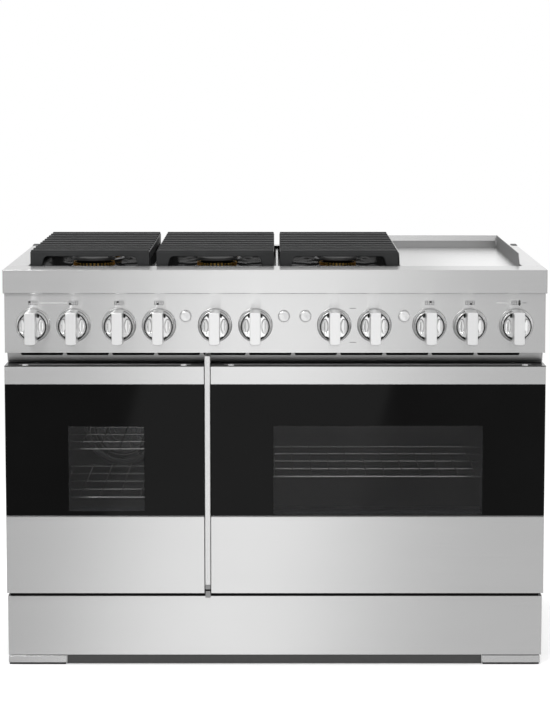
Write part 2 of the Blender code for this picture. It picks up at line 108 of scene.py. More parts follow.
def setInputs(tree, node, inputs):
    # each input is linked to a socket or set to a plain value
    for label, value in inputs.items():
        if isinstance(value, bpy.types.NodeSocket):
            tree.links.new(value, node.inputs[label])
        else:
            node.inputs[label].default_value = value


def addNode(tree, kind, inputs=(), **settings):
    node = tree.nodes.new(kind)
    for label, value in settings.items():
        setattr(node, label, value)
    setInputs(tree, node, dict(inputs))
    return node


def mathNode(tree, operation, *values):
    return addNode(tree, "ShaderNodeMath", dict(enumerate(values)), operation=operation).outputs[0]


def fade(tree, value, start, end, low=0.0, high=1.0):
    inputs = {"Value": value, "From Min": start, "From Max": end, "To Min": low, "To Max": high}
    return addNode(tree, "ShaderNodeMapRange", inputs, interpolation_type="SMOOTHSTEP").outputs["Result"]


def makeWorld(size):
    world = bpy.data.worlds.new("studioWorld")
    scene.world = world
    world.use_nodes = True
    tree = world.node_tree
    tree.nodes.clear()

    def calc(operation, *values):
        return mathNode(tree, operation, *values)

    coords = addNode(tree, "ShaderNodeTexCoord")
    split = addNode(tree, "ShaderNodeSeparateXYZ", {0: coords.outputs["Generated"]})
    x, y, z = split.outputs
    ahead = calc("MAXIMUM", calc("MULTIPLY", y, -1), 0.05)
    across, rise = calc("DIVIDE", x, ahead), calc("DIVIDE", z, ahead)
    bottom, top = size["windowSpan"]
    bend = calc("MAXIMUM", calc("MINIMUM", rise, top), bottom)
    slant = calc("SUBTRACT", across, calc("MULTIPLY", bend, size["windowSlant"]))
    off = calc("ABSOLUTE", calc("SUBTRACT", slant, size["windowMiddle"]))
    half, edge = size["windowHalf"], size["windowEdge"]
    band = fade(tree, off, half - edge, half + edge, 1, 0)
    band = calc("MULTIPLY", band, fade(tree, rise, *size["windowFoot"]))
    away = calc("ABSOLUTE", across)
    wall = calc("ADD", fade(tree, across, *size["rightFrom"], 0, size["rightMore"]), size["around"])
    wall = calc("ADD", wall, fade(tree, away, *size["panelsFrom"], 0, size["panels"]))
    dark = calc("MAXIMUM", fade(tree, away, *size["panelsTo"], 1, size["aside"]),
                fade(tree, away, *size["asideTo"], size["aside"], 1))
    wall = calc("MULTIPLY", wall, dark)
    wall = calc("MULTIPLY", wall, fade(tree, rise, *size["belowFrom"], size["below"], 1))
    front = calc("ADD", calc("MULTIPLY", band, size["window"] - size["around"]), wall)
    behind = fade(tree, y, *size["behindFrom"], 0, size["behind"])
    ceiling = fade(tree, z, *size["ceilingFrom"], 0, size["ceiling"])
    total = calc("MAXIMUM", calc("MAXIMUM", front, behind), ceiling)
    room = addNode(tree, "ShaderNodeBackground", {"Strength": total})
    seen = addNode(tree, "ShaderNodeBackground", {"Color": (1, 1, 1, 1), "Strength": size["backdrop"]})
    path = addNode(tree, "ShaderNodeLightPath")
    inputs = {0: path.outputs["Is Camera Ray"], 1: room.outputs[0], 2: seen.outputs[0]}
    mix = addNode(tree, "ShaderNodeMixShader", inputs)
    addNode(tree, "ShaderNodeOutputWorld", {"Surface": mix.outputs[0]})


lamps = {
    "topSoftbox": {"place": (-0.3, -0.7, 3.2), "aim": (0, 0.1, 0.9), "size": (3.0, 2.2), "watts": 50,
                   "glossy": False},
    "keySoftbox": {"place": (-1.5, -3.2, 2.9), "aim": (0, -0.2, 0.5), "size": (0.9, 0.9), "watts": 30,
                   "glossy": True},
}


def makeLamps(sizes):
    for name, lamp in sizes.items():
        data = bpy.data.lights.new(name, "AREA")
        data.shape = "RECTANGLE"
        data.size, data.size_y = lamp["size"]
        data.energy = lamp["watts"]
        obj = bpy.data.objects.new(name, data)
        obj.location = lamp["place"]
        way = Vector(lamp["aim"]) - Vector(lamp["place"])
        obj.rotation_euler = way.to_track_quat("-Z", "Y").to_euler()
        obj.visible_camera = False
        obj.visible_glossy = lamp["glossy"]
        scene.collection.objects.link(obj)


def newMaterial(name):
    material = bpy.data.materials.new(name)
    material.use_nodes = True
    tree = material.node_tree
    return material, tree, tree.nodes["Principled BSDF"]


def makeFloor(size):
    bpy.ops.mesh.primitive_plane_add(size=40)
    floor = bpy.context.object
    floor.name = "studioFloor"
    floor.visible_glossy = False
    material, tree, shader = newMaterial("studioFloorPaint")
    white = size["floorWhite"]
    setInputs(tree, shader, {"Base Color": (white, white, white, 1), "Roughness": 0.9,
                             "Specular IOR Level": 0.1, "Emission Color": (1, 1, 1, 1),
                             "Emission Strength": size["floorGlow"]})
    glow = addNode(tree, "ShaderNodeEmission")
    coords = addNode(tree, "ShaderNodeTexCoord")
    length = addNode(tree, "ShaderNodeVectorMath", {0: coords.outputs["Object"]}, operation="LENGTH")
    far = fade(tree, length.outputs["Value"], *size["floorFade"])
    mix = addNode(tree, "ShaderNodeMixShader", {0: far, 1: shader.outputs[0], 2: glow.outputs[0]})
    tree.links.new(mix.outputs[0], tree.nodes["Material Output"].inputs["Surface"])
    floor.data.materials.append(material)


def objectNoise(tree, scale, detail=4, roughness=0.6):
    coords = addNode(tree, "ShaderNodeTexCoord")
    mapping = addNode(tree, "ShaderNodeMapping", {"Vector": coords.outputs["Object"], "Scale": scale})
    inputs = {"Vector": mapping.outputs[0], "Scale": 1, "Detail": detail, "Roughness": roughness}
    return addNode(tree, "ShaderNodeTexNoise", inputs).outputs["Fac"]


def ramp(tree, source, low, high, start=0.3, end=0.7):
    node = tree.nodes.new("ShaderNodeValToRGB")
    for element, place, value in zip(node.color_ramp.elements, (start, end), (low, high)):
        element.position = place
        if isinstance(value, (int, float)):
            value = (value, value, value)
        element.color = (*value, 1)
    tree.links.new(source, node.inputs["Fac"])
    return node.outputs["Color"]


def addBump(tree, shader, height, distance, strength):
    bump = addNode(tree, "ShaderNodeBump", {"Height": height, "Distance": distance, "Strength": strength})
    tree.links.new(bump.outputs[0], shader.inputs["Normal"])


def brushedSteel(name, tone, rough, aniso, grain=(4, 1400, 1400), stretch=(0, 1, 1)):
    # satin steel with its grain along X; stretch is the way in which its highlights spread
    material, tree, shader = newMaterial(name)
    fine = objectNoise(tree, grain)
    broad = objectNoise(tree, (2.2, 5, 5), 2)
    both = [mathNode(tree, "MULTIPLY", noise, share) for noise, share in ((fine, 0.6), (broad, 0.4))]
    both = mathNode(tree, "ADD", *both)
    way = addNode(tree, "ShaderNodeCombineXYZ", dict(enumerate(stretch)))
    setInputs(tree, shader, {"Base Color": ramp(tree, both, tone * 0.965, min(tone * 1.035, 1)),
                             "Roughness": ramp(tree, fine, rough * 0.93, rough * 1.08),
                             "Metallic": 1, "Anisotropic": aniso, "Tangent": way.outputs[0]})
    addBump(tree, shader, fine, 0.00003, 0.15)
    return material


def mottled(name, tone, rough, scale, inputs, detail=3, spread=(0.8, 1), roughSpread=(0.85, 1.15), bump=0):
    # a finish whose tone and roughness drift in soft patches
    material, tree, shader = newMaterial(name)
    patches = objectNoise(tree, (scale, scale, scale), detail)
    if isinstance(tone, (int, float)):
        tone = (tone, tone, tone)
    low, high = (tuple(part * share for part in tone) for share in spread)
    smooth, coarse = (rough * share for share in roughSpread)
    setInputs(tree, shader, {"Base Color": ramp(tree, patches, low, high),
                             "Roughness": ramp(tree, patches, smooth, coarse), **inputs})
    if bump:
        addBump(tree, shader, patches, bump, 0.3)
    return material


def glossyBlack(name, tone, ior, rough=0.03, alpha=1.0):
    return mottled(name, tone, rough, 9, {"IOR": ior, "Alpha": alpha}, 3, (0.9, 1.15), (0.7, 1.4))


def castIron(name):
    material, tree, shader = newMaterial(name)
    grit = objectNoise(tree, (900, 900, 900), 3, 0.7)
    broad = objectNoise(tree, (14, 14, 14), 3)
    dark, light = (0.009, 0.0095, 0.010), (0.017, 0.0175, 0.018)
    setInputs(tree, shader, {"Base Color": ramp(tree, broad, dark, light),
                             "Roughness": ramp(tree, grit, 0.36, 0.56), "IOR": 1.42})
    addBump(tree, shader, grit, 0.0002, 0.4)
    return material


def plainMetal(name, tone, rough, scale, wear=0.88):
    return mottled(name, tone, rough, scale, {"Metallic": 1}, 4, (wear, 1))


def satinPaint(name, tone, rough, scale=120, ior=1.45):
    return mottled(name, tone, rough, scale, {"IOR": ior}, bump=0.0001)


def speckledEnamel(name):
    material, tree, shader = newMaterial(name)
    coords = addNode(tree, "ShaderNodeTexCoord")
    cells = addNode(tree, "ShaderNodeTexVoronoi", {"Vector": coords.outputs["Object"], "Scale": 260})
    light, dark = (0.16, 0.17, 0.19), (0.022, 0.024, 0.030)
    setInputs(tree, shader, {"Base Color": ramp(tree, cells.outputs["Distance"], light, dark, 0.08, 0.16),
                             "Roughness": 0.3, "Coat Weight": 0.3, "Coat Roughness": 0.1})
    return material


steels = {                  # tone, roughness, stretch of the highlights
    "frontSteel": (0.66, 0.25, 0.9),
    "sideSteel": (0.60, 0.25, 0.9, (1400, 4, 1400), (0, 0, 1)),
    "topSteel": (0.70, 0.32, 0.6),
    "stripSteel": (0.84, 0.22, 0.9, (1400, 1400, 4), (1, 1, 0)),
    "ventSteel": (0.50, 0.40, 0.3),
    # a lit and a shaded copy of one splash steel: painted light and shade
    "splashLight": (0.60, 0.25, 0.7),
    "splashDark": (0.33, 0.35, 0.4),
    "gripSteel": (0.90, 0.30, 0.6),
    "griddleSteel": (0.86, 0.25, 0.6),
}
metals = {                  # tone, roughness, patches to the metre, how dark the patches are
    "knobSteel": (0.80, 0.12, 500, 0.97),
    "bezelSteel": (0.78, 0.36, 500, 0.96),
    "buttonSteel": (0.90, 0.30, 500, 0.97),
    "chromeWire": (0.92, 0.22, 300, 0.96),
    "zincSheet": ((0.42, 0.43, 0.45), 0.45, 25),
    "castAluminium": ((0.36, 0.36, 0.37), 0.5, 300),
    "flameBrass": ((0.86, 0.56, 0.16), 0.30, 200),
}
paints = {                  # tone, roughness, patches to the metre, refraction
    "blackPaint": ((0.010, 0.010, 0.011), 0.45),
    "shadowPaint": (0.003, 0.8, 120, 1.2),
    # the right griddle wall, a steel wall painted dark grey as its shaded side
    "splashSide": (0.15, 0.5, 120, 1.15),
    # painted shade of the toe recess under the kick panel
    "toePaint": (0.050, 0.6),
    "markInk": (0.012, 0.5, 800),
    "markGrey": (0.15, 0.5, 800),
    # white print on the panel, and the painted highlight on the door-top screws
    "markLight": (0.72, 0.4, 800),
    "ceramic": ((0.75, 0.73, 0.69), 0.35, 400),
    "fibreGasket": (0.10, 0.9, 700),
}
glosses = {                 # tone, refraction, roughness, opacity
    "panGloss": (0.006, 1.03, 0.20),
    "capGloss": (0.004, 1.28, 0.10),
    "capEnamel": (0.055, 1.5, 0.34),
    "doorGlass": (0.002, 1.20),
    # its tone is a painted glow standing in for reflections from inside the oven
    "windowGlass": (0.040, 1.28, 0.03, 0.22),
    "innerGlass": (0.004, 1.2, 0.03, 0.08),
}

finish = {"castIron": castIron("castIronMatte"), "ovenEnamel": speckledEnamel("ovenEnamel")}
makers = ((brushedSteel, steels), (plainMetal, metals), (satinPaint, paints), (glossyBlack, glosses))
for maker, recipes in makers:
    for name, values in recipes.items():
        finish[name] = maker(name, *values)
print("finishes made:", len(finish))


def paint(obj, material):
    obj.data.materials.clear()
    obj.data.materials.append(material)


nodeFinish = {
    "frontSteel": ("front_rail", "control_panel", "door_frame_left", "door_frame_right"),
    "topSteel": ("side_trim_left", "side_trim_right", "rear_trim"),
    "sideSteel": ("side_panel_left", "side_panel_right"),
    "stripSteel": ("divider_strip",),
    "zincSheet": ("back_panel", "base_pan", "centre_partition", "gas_manifold", "griddle_burner",
                  "oven_burner_left", "oven_burner_right", "fan_left"),
    "blackPaint": ("rear_leg_left", "rear_leg_right"),
    "panGloss": ("cooktop_deck",),
    "griddleSteel": ("griddle_plate",),
    "ovenEnamel": ("oven_liner_left", "oven_liner_right", "door_liner_left", "door_liner_right"),
}


def meshOf(name, shape, edge=0, segments=3, angle=40):
    # a bmesh made into a loose mesh, with its edges rounded
    obj = bareObject(name, shape)
    if edge:
        roundOff(obj, edge, segments, angle)
    mesh = obj.data
    bpy.data.objects.remove(obj)
    return mesh


def withWall(obj, thick):
    wall = obj.modifiers.new("wall", "SOLIDIFY")
    wall.thickness = thick
    wall.offset = -1
    return settle(obj)


for finishName, names in nodeFinish.items():
    for name in names:
        paint(nodes[name], finish[finishName])


def addBox(bm, low, high):
    size = [high[i] - low[i] for i in range(3)]
    middle = [(high[i] + low[i]) / 2 for i in range(3)]
    place = Matrix.Translation(middle) @ Matrix.Diagonal((*size, 1))
    return bmesh.ops.create_cube(bm, size=1, matrix=place)["verts"]


def addTurned(bm, profile, place, steps=48, closed=False):
    # (radius, height) points about Z, turned once round and put in place
    rings = []
    for radius, height in profile:
        if radius < 1e-7:
            rings.append([bm.verts.new(place @ Vector((0, 0, height)))])
            continue
        ring = []
        for index in range(steps):
            angle = 2 * math.pi * index / steps
            point = Vector((radius * math.cos(angle), radius * math.sin(angle), height))
            ring.append(bm.verts.new(place @ point))
        rings.append(ring)
    pairs = list(zip(rings, rings[1:]))
    if closed:
        pairs.append((rings[-1], rings[0]))
    made = []
    for first, second in pairs:
        for index in range(steps):
            after = (index + 1) % steps
            corners = [first[index % len(first)], first[after % len(first)],
                       second[after % len(second)], second[index % len(second)]]
            unique = list(dict.fromkeys(corners))
            if len(unique) > 2:
                made.append(bm.faces.new(unique))
    bmesh.ops.recalc_face_normals(bm, faces=made)


def turned(profile, steps, place=Matrix.Identity(4), closed=False):
    bm = bmesh.new()
    addTurned(bm, profile, place, steps, closed)
    return bm


def addPrism(bm, outline, start, end, along="X"):
    # an outline in the plane across the axis, drawn from start to end
    corners = []
    for a, b in outline:
        point = {"X": (start, a, b), "Y": (a, start, b), "Z": (a, b, start)}[along]
        corners.append(bm.verts.new(point))
    face = bm.faces.new(corners)
    grown = bmesh.ops.extrude_face_region(bm, geom=[face], use_keep_orig=True)
    moved = [item for item in grown["geom"] if isinstance(item, bmesh.types.BMVert)]
    travel = Vector([end - start if letter == along else 0 for letter in "XYZ"])
    bmesh.ops.translate(bm, verts=moved, vec=travel)
    faces = dict.fromkeys(face for vert in moved + corners for face in vert.link_faces)
    bmesh.ops.recalc_face_normals(bm, faces=list(faces))


def facing(x, y, z):
    # turns a shape drawn about Z so that it points to the front, at a place
    return Matrix.Translation((x, y, z)) @ Matrix.Rotation(math.pi / 2, 4, "X")


def asMesh(obj):
    bpy.context.view_layer.update()
    graph = bpy.context.evaluated_depsgraph_get()
    return bpy.data.meshes.new_from_object(obj.evaluated_get(graph))


def bareObject(name, shape):
    if isinstance(shape, bmesh.types.BMesh):
        mesh = bpy.data.meshes.new(name)
        shape.to_mesh(mesh)
        shape.free()
        shape = mesh
    obj = bpy.data.objects.new(name, shape)
    scene.collection.objects.link(obj)
    return obj


def settle(obj):
    # turns what the modifiers make into the object's own mesh
    mesh = asMesh(obj)
    obj.modifiers.clear()
    obj.data = mesh
    return obj


def roundOff(obj, width, segments=3, angle=40):
    bevel = obj.modifiers.new("softEdges", "BEVEL")
    bevel.width = width
    bevel.segments = segments
    bevel.limit_method = "ANGLE"
    bevel.angle_limit = math.radians(angle)
    bevel.harden_normals = True
    obj.data.shade_smooth()
    return settle(obj)


def place(obj, material, body, slot, replaced=(), smooth=None):
    if smooth:
        obj.data.shade_smooth()
        obj.data.set_sharp_from_angle(angle=math.radians(smooth))
    paint(obj, finish[material])
    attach(obj, body)
    if replaced:
        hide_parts(*replaced)
    return obj


def piece(name, shape, material, body, slot, replaced=(), edge=0, segments=3, smooth=None):
    obj = bareObject(name, shape)
    if edge:
        roundOff(obj, edge, segments)
    return place(obj, material, body, slot, replaced, smooth)


def boxPiece(name, corners, material, body, slot, replaced=(), edge=0.0006, segments=2):
    bm = bmesh.new()
    for low, high in corners:
        addBox(bm, low, high)
    return piece(name, bm, material, body, slot, replaced, edge, segments)


def wireMesh(paths, radius, closed=False, resolution=2):
    curve = bpy.data.curves.new("wire", "CURVE")
    curve.dimensions = "3D"
    curve.bevel_depth = radius
    curve.bevel_resolution = resolution
    curve.use_fill_caps = True
    for path in paths:
        spline = curve.splines.new("POLY")
        spline.points.add(len(path) - 1)
        spline.use_cyclic_u = closed
        for point, spot in zip(spline.points, path):
            point.co = (*spot, 1)
    obj = bpy.data.objects.new("wire", curve)
    scene.collection.objects.link(obj)
    mesh = asMesh(obj)
    bpy.data.objects.remove(obj)
    return mesh


def roundedLoop(low, high, corner, steps=5):
    # a rectangle with round corners, as (a, b) points
    centres = ((high[0] - corner, high[1] - corner, 0), (low[0] + corner, high[1] - corner, 1),
               (low[0] + corner, low[1] + corner, 2), (high[0] - corner, low[1] + corner, 3))
    points = []
    for a, b, quarter in centres:
        for index in range(steps + 1):
            angle = math.pi / 2 * (quarter + index / steps)
            points.append((a + corner * math.cos(angle), b + corner * math.sin(angle)))
    return points


def newTree(name, inputs):
    tree = bpy.data.node_groups.new(name, "GeometryNodeTree")
    sockets = {}
    for label, kind in inputs.items():
        sockets[label] = tree.interface.new_socket(label, in_out="INPUT", socket_type="NodeSocket" + kind)
    tree.interface.new_socket("Geometry", in_out="OUTPUT", socket_type="NodeSocketGeometry")
    return tree, addNode(tree, "NodeGroupInput").outputs, sockets


def endTree(tree, source, instances):
    realize = addNode(tree, "GeometryNodeRealizeInstances", {0: instances})
    inputs = {"Geometry": realize.outputs[0], "Material": source["Finish"]}
    colour = addNode(tree, "GeometryNodeSetMaterial", inputs)
    addNode(tree, "NodeGroupOutput", {0: colour.outputs[0]})


def instancer(tree, source, points):
    info = addNode(tree, "GeometryNodeObjectInfo", {"Object": source["Shape"]})
    inputs = {"Points": points, "Instance": info.outputs["Geometry"]}
    return addNode(tree, "GeometryNodeInstanceOnPoints", inputs)


def rowTree():
    # a shape repeated count times along a straight step
    inputs = {"Shape": "Object", "Count": "Int", "First": "Vector", "Step": "Vector", "Finish": "Material"}
    tree, source, sockets = newTree("rowOfShapes", inputs)
    inputs = {"Count": source["Count"], "Start Location": source["First"], "Offset": source["Step"]}
    line = addNode(tree, "GeometryNodeMeshLine", inputs, mode="OFFSET")
    endTree(tree, source, instancer(tree, source, line.outputs[0]).outputs[0])
    return tree, sockets


def ringTree():
    # a shape repeated count times round Z, each turned to face outwards, about a centre
    inputs = {"Shape": "Object", "Count": "Int", "Radius": "Float", "Centre": "Vector", "Finish": "Material"}
    tree, source, sockets = newTree("ringOfShapes", inputs)
    inputs = {"Vertices": source["Count"], "Radius": source["Radius"]}
    circle = addNode(tree, "GeometryNodeMeshCircle", inputs)
    turn = mathNode(tree, "MULTIPLY", addNode(tree, "GeometryNodeInputIndex").outputs[0], 2 * math.pi)
    euler = addNode(tree, "ShaderNodeCombineXYZ", {"Z": mathNode(tree, "DIVIDE", turn, source["Count"])})
    onPoints = instancer(tree, source, circle.outputs[0])
    tree.links.new(euler.outputs[0], onPoints.inputs["Rotation"])
    inputs = {"Geometry": onPoints.outputs[0], "Translation": source["Centre"]}
    endTree(tree, source, addNode(tree, "GeometryNodeTransform", inputs).outputs[0])
    return tree, sockets


def spotTree():
    # a shape repeated at each point of the object's own mesh
    inputs = {"Spots": "Geometry", "Shape": "Object", "Finish": "Material"}
    tree, source, sockets = newTree("shapesAtSpots", inputs)
    endTree(tree, source, instancer(tree, source, source["Spots"]).outputs[0])
    return tree, sockets


def meshOf(name, shape, edge=0, segments=3, angle=40):
    # a bmesh made into a loose mesh, with its edges rounded
    obj = bareObject(name, shape)
    if edge:
        roundOff(obj, edge, segments, angle)
    mesh = obj.data
    bpy.data.objects.remove(obj)
    return mesh


trees = {"row": rowTree(), "ring": ringTree(), "spots": spotTree()}


def repeated(name, kind, shape, material, body, slot, values, replaced=(), smooth=None, spots=()):
    # shape is a bmesh or mesh; values are the tree's own inputs
    source = bareObject(name + "_shape", shape)
    mesh = bpy.data.meshes.new(name)
    mesh.from_pydata([tuple(spot) for spot in spots], [], [])
    obj = bareObject(name, mesh)
    tree, sockets = trees[kind]
    nodesModifier = obj.modifiers.new(kind, "NODES")
    nodesModifier.node_group = tree
    nodesModifier[sockets["Shape"].identifier] = source
    nodesModifier[sockets["Finish"].identifier] = finish[material]
    for label, value in values.items():
        nodesModifier[sockets[label].identifier] = value
    settle(obj)
    bpy.data.objects.remove(source)
    return place(obj, material, body, slot, replaced, smooth)


print("node trees made:", len(trees))

knob = {
    "radius": 0.034, "disc": 0.020, "edge": 0.0013,
    "gripWidth": 0.0235, "gripHeight": 0.073, "gripFoot": 0.004,
    "scoop": (0.0086, 0.0178, 0.0030), "scoopAside": 0.0208, "scoopTilt": 0.15,
    "groove": (0.0042, 0.0022), "grooveDeep": 0.0010,
    # outlines of the painted dark reflections beside the top and the bottom of the grip
    "darkReflectionTop": ((0.0119, 0.0285), (0.0119, 0.0205), (0.0148, 0.0188), (0.0172, 0.0228), (0.0148, 0.0262)),
    "darkReflectionLow": ((0.0119, -0.0280), (0.0119, -0.0250), (0.0178, -0.0218), (0.0182, -0.0236)),
    "bezelInner": 0.0348, "bezelOuter": 0.0388, "bezelHigh": 0.0060,
}


def knobBody(size):
    # a shallow turned disc with a groove near its rim and an oval finger hollow on each side of the grip
    r, high = size["radius"], size["disc"]
    far, near = size["groove"]
    deep = high - size["grooveDeep"]
    profile = [(0, high), (r - far - 0.0005, high), (r - far, deep), (r - near, deep),
               (r - near + 0.0005, high - 0.0004), (r - 0.0012, high - 0.0008), (r - 0.0006, high - 0.0020),
               (r, high - 0.0042), (r, 0.003), (r - 0.0012, 0.0022), (r - 0.0012, 0.0008), (r - 0.002, 0),
               (0, 0)]
    disc = bareObject("disc", turned(profile, 72))
    hollows = bmesh.new()
    across, tall, deep = size["scoop"]
    bowl = [(0, -deep), (0.55, -deep * 0.94), (0.80, -deep * 0.80), (0.92, -deep * 0.50), (1, 0),
            (1.05, deep), (0, deep)]
    for side in (-1, 1):
        spot = Matrix.Translation((side * size["scoopAside"], 0, high))
        tilt = Matrix.Rotation(side * size["scoopTilt"], 4, "Y")
        addTurned(hollows, bowl, spot @ tilt @ Matrix.Diagonal((across, tall, 1, 1)), 56)
    cutter = bareObject("hollows", hollows)
    cut = disc.modifiers.new("hollows", "BOOLEAN")
    cut.operation = "DIFFERENCE"
    cut.object = cutter
    settle(disc)
    mesh = disc.data
    for obj in (cutter, disc):
        bpy.data.objects.remove(obj)
    return mesh


def knobGrip(size, reach):
    # an upright bar whose ends follow the knob's circle
    half, tall = size["gripWidth"] / 2, size["gripHeight"] / 2
    swing = math.asin(half / tall)
    steps = 8
    angles = [-swing + 2 * swing * index / steps for index in range(steps + 1)]
    top = [(tall * math.sin(angle), tall * math.cos(angle)) for angle in angles]
    bm = bmesh.new()
    addPrism(bm, top + [(-x, -z) for x, z in top], size["gripFoot"], reach, along="Z")
    return meshOf("grip", bm, size["edge"], 3, 25)


def knobDarkReflections(size):
    # painted dark reflections: dark wedges between the ends of the grip and the rim, and a dark ring at the
    # bottom of the groove
    bm = bmesh.new()
    face = size["disc"]
    for outline in (size["darkReflectionTop"], size["darkReflectionLow"]):
        for side in (-1, 1):
            addPrism(bm, [(side * x, y) for x, y in outline], face - 0.0004, face + 0.0002, along="Z")
    inner, outer = (size["radius"] - inset for inset in size["groove"])
    low = face - size["grooveDeep"] - 0.0002
    high = low + 0.0005
    ring = [(inner, low), (inner, high), (outer, high), (outer, low)]
    addTurned(bm, ring, Matrix.Identity(4), 72, closed=True)
    return meshOf("notches", bm)


def makeKnobs(size):
    names = sorted(name for name in nodes if name.startswith("knob_"))
    low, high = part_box(names[0])
    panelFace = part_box("control_panel")[0].y
    parts = (knobBody(size), knobGrip(size, high.y - low.y), knobDarkReflections(size))
    spots = []
    for name in names:
        low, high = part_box(name)
        x, z = (low.x + high.x) / 2, (low.z + high.z) / 2
        spots.append((x, panelFace, z))
        body, grip, notches = (mesh.copy() for mesh in parts)
        for mesh in (body, grip, notches):
            mesh.transform(facing(x, high.y, z))
        piece(name + "_body", body, "knobSteel", name, "polished_knob", (name,), smooth=32)
        piece(name + "_grip", grip, "gripSteel", name, "polished_knob")
        # near-black patches on the knob face: painted dark reflections
        piece(name + "_notches", notches, "capGloss", name, "black_enamel")
    inner, outer, tall = size["bezelInner"], size["bezelOuter"], size["bezelHigh"]
    profile = [(inner, 0.0002), (inner, tall - 0.0004), (inner + 0.0005, tall),
               (inner + 0.0018, tall - 0.0008), (outer - 0.0010, tall * 0.35), (outer, 0.0006),
               (outer, 0.0002)]
    bezel = turned(profile, 72, facing(0, 0, 0), closed=True)
    repeated("knob_bezels", "spots", bezel, "bezelSteel", "body", "stainless", {}, smooth=40, spots=spots)


button = {"radius": 0.0118, "proud": 0.0095, "collar": 0.0137, "collarHigh": 0.0022}


def makeButtons(size):
    names = sorted(name for name in nodes if name.startswith("button_"))
    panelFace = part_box("control_panel")[0].y
    spots = []
    r, proud = size["radius"], size["proud"]
    profile = [(0, proud - 0.0016), (r * 0.35, proud - 0.0012), (r * 0.72, proud - 0.0002), (r * 0.84, proud),
               (r * 0.93, proud - 0.0005), (r, proud - 0.0022), (r, -0.004), (0, -0.004)]
    for name in names:
        low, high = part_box(name)
        x, z = (low.x + high.x) / 2, (low.z + high.z) / 2
        spots.append((x, panelFace, z))
        cap = turned(profile, 48, facing(x, panelFace, z))
        piece(name + "_cap", cap, "buttonSteel", name, "button_metal", (name,), smooth=35)
    inner, outer, tall = r + 0.0005, size["collar"], size["collarHigh"]
    collar = [(inner, 0.0002), (inner, tall), (outer - 0.0008, tall), (outer, tall - 0.0008), (outer, 0.0002)]
    collar = turned(collar, 48, facing(0, 0, 0), closed=True)
    repeated("button_collars", "spots", collar, "bezelSteel", "body", "stainless", {}, smooth=35, spots=spots)


marks = {
    "proud": 0.00015, "above": 0.0500, "cell": 0.0049, "tall": 0.0041, "line": 0.0010, "dot": 0.0036,
    "dotOff": (0.0006, 0.0002), "columns": 4, "bar": 0.0022, "barGap": 0.0145, "griddleBar": 0.045,
    "dash": 0.0012, "ovenDash": (-0.010, 0.004), "ovenDrops": (0.012, 0.089), "griddleDash": (0.014, 0.023),
    "griddleDot": (0.0060, 0.0085), "griddleDotHigh": 0.0124,
    "signs": {              # the column and row of the filled cell
        "knob_burner_left_front": (0, 1), "knob_burner_left_rear": (0, 0),
        "knob_burner_middle_front": (1, 1), "knob_burner_middle_rear": (1, 0),
        "knob_burner_right_front": (2, 1), "knob_burner_right_rear": (2, 0), "knob_griddle": (3, 0),
    },
}


def makeMarks(size):
    # burner-position signs above the knobs: a small grid of cells with one of them filled
    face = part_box("control_panel")[0].y
    near, far = face - size["proud"], face - 0.00002
    cell, tall, half = size["cell"], size["tall"], size["line"] / 2
    wide = size["columns"] * cell
    grid, dots, bars = bmesh.new(), bmesh.new(), bmesh.new()

    def mark(bm, x0, x1, z, thick, lift=0):
        addBox(bm, (x0, near - lift, z - thick / 2), (x1, far, z + thick / 2))

    middles = {}
    for name, (column, row) in size["signs"].items():
        low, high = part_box(name)
        middles[name] = (low.x + high.x) / 2
        left = middles[name] - wide / 2
        base = (low.z + high.z) / 2 + size["above"] - tall
        for index in range(size["columns"] + 1):
            x = left + index * cell
            mark(grid, x - half, x + half, base + tall, 2 * tall)
        for index in range(3):
            mark(grid, left, left + wide, base + index * tall, size["line"])
        x, z = left + column * cell + size["dotOff"][0], base + row * tall + size["dotOff"][1]
        mark(dots, x, x + size["dot"], z + size["dot"] / 2, size["dot"], 0.0001)
    low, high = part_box("knob_griddle")
    z = (low.z + high.z) / 2 + size["above"]
    gap, thin = size["barGap"], size["dash"]
    first, second = middles["knob_burner_left_front"], middles["knob_burner_left_rear"]
    mark(bars, first + gap, second - gap, z, size["bar"])
    middle = (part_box("knob_oven_right_mode")[1].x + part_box("knob_oven_right_heat")[0].x) / 2
    for drop in size["ovenDrops"]:
        mark(grid, *(middle + off for off in size["ovenDash"]), z - drop, thin)
    middle = middles["knob_griddle"]
    mark(dots, *(middle + off for off in size["griddleDot"]), z, size["griddleDotHigh"], 0.0001)
    mark(bars, middle - size["griddleBar"], middle - gap, z, size["bar"])
    mark(grid, *(middle + off for off in size["griddleDash"]), z, thin)
    piece("burner_signs", grid, "markGrey", "body", "stainless")
    piece("burner_sign_dots", dots, "markInk", "body", "black_enamel")
    piece("panel_bars", bars, "markLight", "body", "stainless")


makeKnobs(knob)
makeButtons(button)
makeMarks(marks)
print("controls made")

vent = {"slots": 11, "bridge": 0.0050, "flare": 0.0030, "sheet": 0.0012, "start": 0.0205, "pitch": 0.1033,
        "slotTop": 0.0042, "slotTall": 0.0064, "fold": 0.006, "ends": (0.0068, 0.0098),
        "shadeBoard": (0.014, 0.016)}


